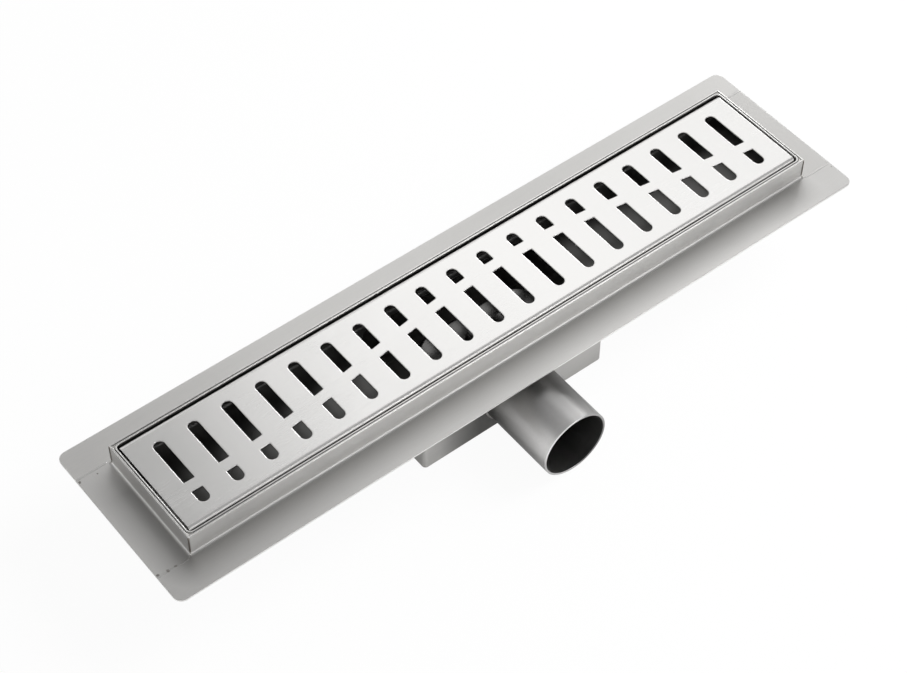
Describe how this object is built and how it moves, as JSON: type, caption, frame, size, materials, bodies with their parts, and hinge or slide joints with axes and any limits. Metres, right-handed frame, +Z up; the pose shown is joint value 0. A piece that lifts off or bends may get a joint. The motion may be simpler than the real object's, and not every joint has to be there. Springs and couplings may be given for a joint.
{
  "type": "shower drain",
  "caption": "Linear shower drain: flanged stainless trough with a slotted lift-out grate, a sump with a removable water trap below it, and a round side outlet.",
  "frame": {"origin": "middle of the underside of the sump, on the surface that the drain stands on", "axes": "+X along the trough, the outlet pipe points to -Y, +Z up"},
  "size_m": [0.55, 0.171, 0.08],
  "materials": {
    "stainless_sheet": "folded sheet, lightly brushed",
    "grate_steel": "brushed along the length",
    "pipe_steel": "drawn tube, satin",
    "rubber": "black, matt"
  },
  "bodies": {
    "root": {"front_flange": "stainless_sheet", "rear_flange": "stainless_sheet", "left_flange": "stainless_sheet", "right_flange": "stainless_sheet", "trough": "stainless_sheet", "sump_box": "stainless_sheet", "trap_weir": "stainless_sheet", "trap_cover": "stainless_sheet", "trap_handle": "stainless_sheet", "grate_rest_front_left": "stainless_sheet", "grate_rest_front_right": "stainless_sheet", "grate_rest_rear_left": "stainless_sheet", "grate_rest_rear_right": "stainless_sheet", "grate": "grate_steel", "outlet_pipe": "pipe_steel", "trap_gasket": "rubber", "rest_pad_front_left": "rubber", "rest_pad_front_right": "rubber", "rest_pad_rear_left": "rubber", "rest_pad_rear_right": "rubber"}
  },
  "joints": []
}
